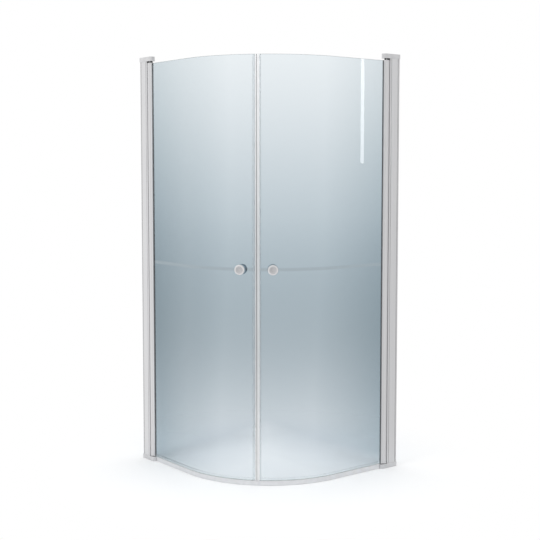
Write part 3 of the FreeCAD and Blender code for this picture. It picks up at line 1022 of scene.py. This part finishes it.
def keep_mesh(name, work):
    """A mesh from a finished bmesh."""
    mesh = bpy.data.meshes.new(name)
    work.to_mesh(mesh)
    work.free()
    return mesh


def cut_out(piece, tool, sharp_degrees=corner_degrees):
    """Take the shape of a tool mesh out of a piece."""
    cutter = add_object("cutter", tool)
    cut = piece.modifiers.new("cut", "BOOLEAN")
    cut.operation = "DIFFERENCE"
    cut.solver = "EXACT"
    cut.object = cutter
    shaped = plain_result(piece, cut)
    bpy.data.objects.remove(cutter)
    tidy_mesh(shaped, sharp_degrees)


def drill(piece, centre, direction, diameter, length, sharp_degrees=corner_degrees):
    """Cut a round hole through a piece."""
    work = bmesh.new()
    radius = diameter / 2
    bmesh.ops.create_cone(work, cap_ends=True, segments=hole_steps, radius1=radius, radius2=radius,
                          depth=length, matrix=along_axis(centre, direction))
    cut_out(piece, keep_mesh("drill", work), sharp_degrees)


def second_finish(piece, material, belongs):
    """Give the faces that pass a test another finish."""
    index = len(piece.data.materials)
    piece.data.materials.append(material)
    for face in piece.data.polygons:
        if belongs(face):
            face.material_index = index


knob_out = (door_point(knob_back, 0) - bow_centre).normalized()
knob_spot = door_point(knob_back, 0) + Vector((0, 0, knob_height))
drill(pane, knob_spot, knob_out, stud_hole, drill_length)
second_finish(pane, ground_edge_finish, lambda face: abs(face.normal.z) > edge_slant)
on_both_sides(pane, "glass")

# %% [markdown]
# ## The floor seals
# A seal closes the gap under each door. It is drawn from two plastics at once: a firm clear clip that
# grips the lower edge of the glass, and a soft milky skirt below it, with a drip fin that turns the water
# inwards. One section with two finishes could do, but the clip stops short of the seam strip, and the
# skirt runs on to the seam. So the tree draws each of them over its own length, and the two meshes are
# joined.

# %% Draw the floor seals
clip_rise = 0.012
clip_wall = 0.0011
clip_floor = 0.001
clip_gap = 0.0003
clip_steps = 90
skirt_half = 0.001
skirt_root = 0.001
skirt_steps = 96
drip_reach = 0.006
drip_drop = 0.008
drip_wall = 0.0012
strip_clip = 0.012          # closing strip on the glass
seal_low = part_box("left_sweep")[0]


def clip_section():
    inner = glass_half + fit_gap
    outer = glass_half + clip_wall
    low = glass_low.z - clip_floor
    base = glass_low.z - fit_gap
    top = glass_low.z + clip_rise
    soft = clip_wall / 3
    side = [(outer, low), (outer, top - soft), (outer - soft, top), (inner + soft, top),
            (inner, top - soft), (inner, base)]
    return outline_object("clip_section", side + [(-x, y) for x, y in reversed(side)])


def skirt_section():
    outer = glass_half + clip_wall
    top = glass_low.z - clip_floor - fit_gap
    root = top - skirt_root
    foot = seal_low.z
    soft = skirt_half / 2
    fin_out = -outer - drip_reach
    fin_low = root - drip_drop
    points = [(outer, top), (outer, root + soft), (outer - soft, root), (skirt_half + soft, root),
              (skirt_half, root - soft), (skirt_half, foot + soft), (skirt_half - soft, foot),
              (soft - skirt_half, foot), (-skirt_half, foot + soft), (-skirt_half, root),
              (drip_wall - outer, root), (fin_out + drip_wall, fin_low), (fin_out, fin_low),
              (-outer, root + soft), (-outer, top)]
    return outline_object("skirt_section", points)


def join_pieces(name, parts):
    """One object from several, with their finishes."""
    with bpy.context.temp_override(active_object=parts[0], selected_editable_objects=parts):
        bpy.ops.object.join()
    parts[0].name = name
    return parts[0]


clip_end = glass_back + strip_clip + clip_gap
clip = draw_on_door("clip", clip_section(), seal_low.x, clip_end, clip_steps, finish["clear_plastic"])
skirt_end = seam_gap / 2
skirt = draw_on_door("skirt", skirt_section(), seal_low.x, skirt_end, skirt_steps, finish["sweep_plastic"])
seal = join_pieces("left_floor_seal", [clip, skirt])
on_both_sides(seal, "sweep")

# %% [markdown]
# ## The closing strips
# At the seam each pane wears an upright strip: two thin soft legs hold the glass edge, and a milky box in
# front of it holds the magnet bar. The section has a hollow, which a curve drawn along a line can't close
# at its ends. So a second tree fills the outline between its loops, rounds its corners and pulls it up to
# its height. A face's distance from the seam tells which finish it takes: the legs are see-through, the
# box is milky with painted shade in the middle of its height, and its front, where the boxes meet, is
# painted dark as the shade in the gap between them. On the right strip the milky plastic laps over half
# of the outer leg.

# %% Build the upright tree


def upright_tree():
    tree, given, result = shape_tree("Pull up a section", {
        "Section": "Object", "Foot": "Float", "Rise": "Float", "Corner": "Float", "Material": "Material"})
    section = step(tree, "GeometryNodeObjectInfo", Object=given["Section"])
    rounded = step(tree, "GeometryNodeFilletCurve", mode="POLY", Curve=section.outputs["Geometry"],
                   Radius=given["Corner"], Count=3, Limit_Radius=True)
    foot = step(tree, "ShaderNodeCombineXYZ", Z=given["Foot"])
    rise = step(tree, "ShaderNodeCombineXYZ", Z=given["Rise"])
    face = step(tree, "GeometryNodeFillCurve", mode="NGONS", Curve=rounded.outputs[0])
    low = step(tree, "GeometryNodeTransform", Geometry=face.outputs[0], Translation=foot.outputs[0])
    walls = step(tree, "GeometryNodeExtrudeMesh", Mesh=low.outputs[0], Offset=rise.outputs[0],
                 Individual=False)
    under = step(tree, "GeometryNodeFlipFaces", Mesh=low.outputs[0])
    joined = tree.nodes.new("GeometryNodeJoinGeometry")
    for part in (walls.outputs["Mesh"], under.outputs[0]):
        tree.links.new(part, joined.inputs[0])
    end_tree(tree, result, joined.outputs[0], given["Material"])
    return tree


upright = upright_tree()


def pull_up(name, section, foot, rise, corner, material):
    """Pull a section up from a height, with rounded corners."""
    piece = run_tree(name, upright, {"Section": section, "Foot": foot, "Rise": rise, "Corner": corner,
                                     "Material": material})
    bpy.data.objects.remove(section)
    return piece


print("tree:", upright.name, len(upright.nodes), "nodes")

# %% Pull up the strips
strip_half = 0.005
strip_corner = 0.0005
strip_front = 0.0010        # front of the box, painted dark as the shade in the gap where the boxes meet
strip_tip = glass_back + strip_clip
strip_middle = glass_back + strip_clip / 2
magnet_depth = 0.004
magnet_half = 0.0035
glass_rise = glass_high.z - glass_low.z


def strip_section():
    inner = glass_half + fit_gap
    outer = glass_half + clip_wall
    front = seam_gap / 2
    wall = (strip_depth - magnet_depth) / 2
    side = [(front, strip_half), (front + strip_front, strip_half), (glass_back, strip_half),
            (glass_back, outer), (strip_middle, outer), (strip_tip, outer), (strip_tip, inner),
            (strip_middle, inner), (glass_back - fit_gap, inner)]
    around = side + [(back, -out) for back, out in reversed(side)]
    hollow = [(front + wall, magnet_half), (glass_back - wall, magnet_half),
              (glass_back - wall, -magnet_half), (front + wall, -magnet_half)]
    loops = [[tuple(door_point(back, out).xy) for back, out in loop] for loop in (around, hollow)]
    return outline_object("strip_section", *loops)


strip = pull_up("left_seam_strip", strip_section(), glass_low.z, glass_rise, strip_corner,
                soft_clip_finish)
print("strip:", len(strip.data.polygons), "faces")

# %% Finish the strips


def strip_place(point):
    """How far a point of the left door lies back from the seam and out from the glass line."""
    place = (point - bow_centre).xy
    return (-math.pi / 4 - math.atan2(place.y, place.x)) * line_radius, place.length - line_radius


def on_outer_leg(face):
    """Whether a face of the right strip is the first half of its leg in front of the glass."""
    back, out = strip_place(mirror_plan @ face.center)
    return back < strip_middle and out > glass_half + clip_wall / 2


box_end = glass_back + fit_gap
front_end = seam_gap / 2 + strip_front
second_finish(strip, milky_box_finish, lambda face: strip_place(face.center)[0] < box_end)
second_finish(strip, seam_gap_shade_finish, lambda face: strip_place(face.center)[0] < front_end)
right_strip = on_both_sides(strip, "closing_strip")
lapped = [face for face in right_strip.data.polygons if face.material_index == 0 and on_outer_leg(face)]
for face in lapped:
    face.material_index = 1
print("milky lap on the right strip:", len(lapped), "faces")

# %% [markdown]
# ## The knobs
# A knob is a turned piece, so it is made the way a lathe makes it: an outline of radius and height goes
# round an axis. A Screw modifier could turn the outline too, but a loop over rings of points writes the
# UV map of the dish's rings in the same pass. Arcs in the outline come from a small formula. The outline
# starts and ends on the axis, which closes the shape. A ring groove parts the polished rim from the satin
# dish, which has a fine ring of its own.

# %% Draw the outline of a knob
knob_length = 0.026
knob_radius = 0.024
neck_radius = 0.013
neck_length = 0.007
flare_length = 0.005
rim_round = 0.004
dish_radius = 0.015
dish_depth = 0.005
dish_steps = 40
dish_ring = 0.008           # radius of the fine ring in the dish
face_groove = 0.0012        # ring groove between the rim and the dish
edge_round = 0.0003
stud_radius = 0.00305
stud_depth = 0.015


def arc(centre, radii, first, last, count):
    """Points of an arc or a quarter of an oval, as radius and height, from one angle to another."""
    angles = [math.radians(first + (last - first) * i / count) for i in range(count + 1)]
    return [(centre[0] + radii[0] * math.cos(a), centre[1] + radii[1] * math.sin(a)) for a in angles]


def dish_outline():
    """The ring groove and the dish, from the rim to the axis."""
    ball = (dish_radius ** 2 + dish_depth ** 2) / (2 * dish_depth)
    open_angle = math.degrees(math.asin(dish_radius / ball))
    ball_height = knob_length - dish_depth + ball
    lip = dish_radius + edge_round
    low = knob_length - face_groove / 2
    outline = [(lip + face_groove, knob_length), (lip + 0.8 * face_groove, low),
               (lip + 0.2 * face_groove, low), (lip, knob_length)]
    for radius, height in arc((0, ball_height), (ball, ball), open_angle - 90, -90, dish_steps)[:-1]:
        in_ring = abs(radius - dish_ring) < face_groove / 2
        outline.append((radius, height - face_groove / 3 if in_ring else height))
    return outline + [(0, knob_length - dish_depth)]


def body_outline():
    """The stud hole, the neck, the flare and the rim."""
    flare = neck_length + flare_length
    edge = (edge_round, edge_round)
    outline = [(0, stud_depth), (stud_radius, stud_depth), (stud_radius, 0), (neck_radius - edge_round, 0)]
    outline += arc((neck_radius - edge_round, edge_round), edge, -45, 0, 2)
    outline += arc((knob_radius, neck_length), (neck_radius - knob_radius, flare_length), 0, 84, 12)
    outline += arc((knob_radius - edge_round, flare + edge_round), edge, -70, 0, 3)
    outline += arc((knob_radius - rim_round, knob_length - rim_round), (rim_round, rim_round), 0, 90, 14)
    return outline


knob_body = body_outline()
knob_outline = knob_body + dish_outline()
print("knob outline:", len(knob_outline), "points")

# %% Turn the knobs
washer = 0.0012
turn_steps = 96
turned_degrees = 40         # edges of turned pieces that bend more than this stay sharp


def ring_points(work, place, radius, height):
    """One ring of points round the axis, or a single point on it."""
    angles = [2 * math.pi * i / turn_steps for i in range(turn_steps if radius > 0 else 1)]
    return [work.verts.new(place @ Vector((radius * math.cos(a), radius * math.sin(a), height)))
            for a in angles]


def turn(name, outline, centre, direction, materials, second_from):
    """Turn an outline about an axis. Faces from one outline point on take the second finish."""
    work = bmesh.new()
    uv = work.loops.layers.uv.new("turned")
    place = along_axis(centre, direction)
    rings = [ring_points(work, place, radius, height) for radius, height in outline]
    travel = 0.0
    for index, (low, high) in enumerate(zip(rings, rings[1:])):
        width = math.dist(outline[index], outline[index + 1])
        for i in range(turn_steps):
            j = (i + 1) % turn_steps
            corners = [(low, i, 0), (low, j, 0), (high, j, 1), (high, i, 1)]
            if len(low) == 1:
                corners.pop(0)
            if len(high) == 1:
                corners.pop()
            face = work.faces.new([ring[k % len(ring)] for ring, k, end in corners])
            face.material_index = 1 if index >= second_from else 0
            for loop, (ring, k, end) in zip(face.loops, corners):
                loop[uv].uv = ((i if k == i else i + 1) / turn_steps, travel + end * width)
        travel += width
    mesh = keep_mesh(name, work)
    for material in materials:
        mesh.materials.append(material)
    tidy_mesh(mesh, turned_degrees)
    return add_object(name, mesh)


for face, way, rim_finish in (("outer", 1, finish["knob_chrome"]), ("inner", -1, inner_knob_lightened_finish)):
    seat = knob_spot + knob_out * way * (glass_half + washer)
    finishes = (rim_finish, knob_dish_finish)
    knob = turn(f"left_{face}_knob", knob_outline, seat, knob_out * way, finishes, len(knob_body))
    on_both_sides(knob, f"knob_{face}")

# %% [markdown]
# ## The hinge posts and their wipers
# A post is an extrusion with hollow chambers and a cove for the hinge. Two narrow grooves run up each of
# its broad faces, one near the front edge and one near the back edge, and their faces take darker tones
# as painted shade. The measured solid has all but the grooves. Lines in the material could stand for
# them, but they wouldn't catch the light at an angle. So a copy of the solid is merged into one closed
# mesh, and the grooves are milled into the copy. The wiper is a thin rubber sleeve that lines the cove
# up to its mouth, so that the gap between post and door stays closed. It is pulled up like the seam strips.

# %% Groove the posts
groove_width = 0.0026
groove_reach = 0.52 * groove_width      # faces this near to the axis of a groove belong to it
front_groove = 0.0085       # groove, back from the front edge
back_groove = 0.0036        # groove, from the back edge
flat_degrees = 4            # keeps the long flat faces apart from the rounded ones
post_low, post_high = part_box("left_hinge_post")
post_rise = post_high.z - post_low.z
groove_length = 1.1 * post_rise         # runs out at both ends


def copy_solid(name, node, material):
    """A closed mesh with the shape of a measured solid."""
    mesh = nodes[node].data.copy()
    mesh.name = name
    mesh.materials.clear()
    mesh.materials.append(material)
    tidy_mesh(mesh, flat_degrees)
    return add_object(name, mesh)


post = copy_solid("left_grooved_post", "left_hinge_post", finish["aluminium"])
grooves = [Vector((x, y, (post_low.z + post_high.z) / 2))
           for x in (post_low.x + back_groove, post_high.x - front_groove)
           for y in (post_low.y, post_high.y)]
for middle in grooves:
    drill(post, middle, Vector((0, 0, 1)), groove_width, groove_length, flat_degrees)
# the faces of the grooves take the darker tones of painted shade
second_finish(post, groove_shade_finish, lambda face: any(
    (face.center.xy - middle.xy).length < groove_reach for middle in grooves))
on_both_sides(post, "hinge_post", fixed=True)

# %% Line the coves
wiper_inner = 0.01335
wiper_outer = 0.01385
wiper_first = 131.5         # degrees round the hinge, from one mouth of the cove to the other
wiper_last = 228.5
wiper_corner = 0.0001
wiper_steps = 20


def wiper_section():
    rings = [arc(hinge_spot.xy, (radius, radius), wiper_first, wiper_last, wiper_steps)
             for radius in (wiper_inner, wiper_outer)]
    return outline_object("wiper_section", rings[0] + rings[1][::-1])


wiper = pull_up("left_cove_wiper", wiper_section(), post_low.z, post_rise, wiper_corner, wiper_finish)
on_both_sides(wiper, "hinge_seal", fixed=True)

# %% [markdown]
# ## The gaskets
# Each pane sits in its stile in a rubber channel, and only two small rounded lips of it show, one on each
# side of the glass. Round lips could be bevelled by hand, but the upright tree already rounds every
# corner of a section. The section is drawn in distances from the hinge axis and from the middle of the
# glass.

# %% Draw the gaskets
gasket_start = 0.008        # bottom of the slot, from the hinge axis
gasket_edge = 0.010         # edge of the glass
stile_tip = 0.024
slot_half = 0.0045
lip_length = 0.0017
lip_rise = 0.0015
lip_corner = 0.0004


def gasket_section():
    inner = glass_half + fit_gap
    lip_top = glass_half + lip_rise
    lip_end = stile_tip + lip_length
    half = [(gasket_start, slot_half), (stile_tip, slot_half), (stile_tip, lip_top + fit_gap),
            (stile_tip + lip_length / 2, lip_top), (lip_end, glass_half + lip_rise / 2),
            (lip_end, inner), (gasket_edge, inner)]
    around = half + [(along, -out) for along, out in reversed(half)]
    points = [(hinge_spot.x + along, line_y - out) for along, out in around]
    return outline_object("gasket_section", points)


gasket = pull_up("left_gasket", gasket_section(), glass_low.z, glass_rise, lip_corner,
                 finish["gasket_rubber"])
on_both_sides(gasket, "glass_gasket")

# %% [markdown]
# ## The ribs of the upper bushes
# The bush under each top cap shows as a black collar with three short grey ribs. The grey ribs are a
# painted highlight: they stand for the glint of light on the glossy black collar. They could be placed one
# by one, but ribs in a ring follow a rule. So one rib is made, and a tree stands copies of it round the
# collar, each facing outwards.

# %% Stand the ribs
rib_size = (0.0013, 0.0046, 0.0070)     # depth, width and height
rib_bevel = 0.0004
rib_count = 3
rib_first_turn = -0.675                 # radians; turns one rib towards the camera on each side
collar_radius = 0.012
collar_height = 0.0078


def one_rib():
    work = bmesh.new()
    bmesh.ops.create_cube(work, size=1.0, matrix=Matrix.Diagonal((*rib_size, 1)))
    bmesh.ops.bevel(work, geom=work.edges, offset=rib_bevel, segments=2, affect="EDGES", profile=0.5)
    return add_object("rib", keep_mesh("rib", work))


def rib_tree():
    tree, given, result = shape_tree("Stand ribs round a collar", {
        "Rib": "Object", "Count": "Int", "Radius": "Float", "First Turn": "Float", "Centre": "Vector",
        "Material": "Material"})
    ring = step(tree, "GeometryNodeMeshCircle", Vertices=given["Count"], Radius=given["Radius"])
    facing = tree.nodes.new("FunctionNodeAlignRotationToVector")
    facing.axis = "X"
    tree.links.new(tree.nodes.new("GeometryNodeInputPosition").outputs[0], facing.inputs["Vector"])
    rib = step(tree, "GeometryNodeObjectInfo", Object=given["Rib"], As_Instance=True)
    copies = step(tree, "GeometryNodeInstanceOnPoints", Points=ring.outputs[0],
                  Instance=rib.outputs["Geometry"], Rotation=facing.outputs[0])
    spin = step(tree, "FunctionNodeAxisAngleToRotation", Axis=(0, 0, 1), Angle=given["First Turn"])
    placed = step(tree, "GeometryNodeTransform", Geometry=copies.outputs[0], Translation=given["Centre"],
                  Rotation=spin.outputs[0])
    end_tree(tree, result, placed.outputs[0], given["Material"])
    return tree


collar_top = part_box("left_top_bush")[1].z
template = one_rib()
# the grey ribs are a painted highlight on the black collar
ribs = run_tree("left_bush_ribs", rib_tree(), {
    "Rib": template, "Count": rib_count, "Radius": collar_radius, "First Turn": rib_first_turn,
    "Centre": (hinge_spot.x, hinge_spot.y, collar_top - collar_height / 2), "Material": bush_grey_and_highlight_finish})
bpy.data.objects.remove(template)
on_both_sides(ribs)

# %% [markdown]
# ## The cap screws
# Four screws on each side hold the caps to the post, sunk deep in their holes. They have a cross recess,
# which is cut once into one screw. A fourth tree then sets a copy at every seat, lines it up with the
# direction of its seat, and gives it a random turn with a fixed seed, since no two screws end at the same
# angle.

# %% Turn one screw
screw_head_radius = 0.0035
screw_head = 0.0026
screw_radius = 0.0019
screw_length = 0.030
recess_width = 0.0011
recess_reach = 0.0042
recess_depth = 0.0016


def cross_screw():
    """One screw at the origin, with its head upwards and the underside of the head at zero."""
    crown = screw_head / 2
    tip = screw_radius / 2 - screw_length
    outline = [(0, -screw_length), (screw_radius / 2, -screw_length), (screw_radius, tip),
               (screw_radius, 0), (screw_head_radius, 0), (screw_head_radius, crown)]
    outline += arc((0, crown), (screw_head_radius, crown), 15, 75, 5) + [(0, screw_head)]
    screw = turn("cross_screw", outline, Vector(), Vector((0, 0, 1)), (finish["steel"],), len(outline))
    for width, length in ((recess_width, recess_reach), (recess_reach, recess_width)):
        work = bmesh.new()
        size = Matrix.Diagonal((width, length, 2 * recess_depth, 1))
        bmesh.ops.create_cube(work, size=1.0, matrix=Matrix.Translation((0, 0, screw_head)) @ size)
        cut_out(screw, keep_mesh("recess", work))
    return screw


template = cross_screw()
print("screw:", len(template.data.polygons), "faces")

# %% Find the seats


def screw_rows(low, high):
    """The places of the screws along one side of the box that holds them."""
    first = low + screw_head_radius
    last = high - screw_head_radius
    return [first, last] if last - first > screw_head_radius else [first]


def screw_seats():
    """A mesh with one point for every cap screw, which carries the direction of its head."""
    places = []
    aims = []
    for side in ("left", "right"):
        low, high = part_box(side + "_cap_screws")
        for x in screw_rows(low.x, high.x):
            for y in screw_rows(low.y, high.y):
                places += [(x, y, high.z - screw_head), (x, y, low.z + screw_head)]
                aims += [(0, 0, 1), (0, 0, -1)]
    mesh = bpy.data.meshes.new("screw_seats")
    mesh.from_pydata(places, [], [])
    directions = mesh.attributes.new("aim", "FLOAT_VECTOR", "POINT")
    for item, aim in zip(directions.data, aims):
        item.vector = aim
    return mesh


seats = screw_seats()
print("seats:", len(seats.vertices))

# %% Set the screws
screw_seed = 7


def random_turn(tree, seed):
    """A rotation about z by a random angle up to half a turn."""
    chance = tree.nodes.new("FunctionNodeRandomValue")
    chance.data_type = "FLOAT"
    low, high = [socket for socket in chance.inputs if socket.enabled and socket.name in ("Min", "Max")]
    low.default_value = 0.0
    high.default_value = math.pi
    tree.links.new(seed, chance.inputs["Seed"])
    angle = next(socket for socket in chance.outputs if socket.enabled)
    return step(tree, "FunctionNodeAxisAngleToRotation", Axis=(0, 0, 1), Angle=angle).outputs[0]


def screw_tree():
    tree, given, result = shape_tree("Set screws in their seats", {
        "Seats": "Geometry", "Screw": "Object", "Seed": "Int", "Material": "Material"})
    aim = tree.nodes.new("GeometryNodeInputNamedAttribute")
    aim.data_type = "FLOAT_VECTOR"
    aim.inputs["Name"].default_value = "aim"
    facing = tree.nodes.new("FunctionNodeAlignRotationToVector")
    facing.axis = "Z"
    tree.links.new(aim.outputs["Attribute"], facing.inputs["Vector"])
    turned = tree.nodes.new("FunctionNodeRotateRotation")
    turned.rotation_space = "LOCAL"
    tree.links.new(facing.outputs[0], turned.inputs["Rotation"])
    tree.links.new(random_turn(tree, given["Seed"]), turned.inputs["Rotate By"])
    screw = step(tree, "GeometryNodeObjectInfo", Object=given["Screw"], As_Instance=True)
    copies = step(tree, "GeometryNodeInstanceOnPoints", Points=given["Seats"],
                  Instance=screw.outputs["Geometry"], Rotation=turned.outputs[0])
    end_tree(tree, result, copies.outputs[0], given["Material"])
    return tree


screws = run_tree("cap_screws", screw_tree(), {"Screw": template, "Seed": screw_seed,
                                               "Material": finish["steel"]}, start=seats)
bpy.data.objects.remove(template)
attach(screws, "frame")
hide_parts("left_cap_screws", "right_cap_screws")
print("cap screws:", len(screws.data.polygons), "faces in all")
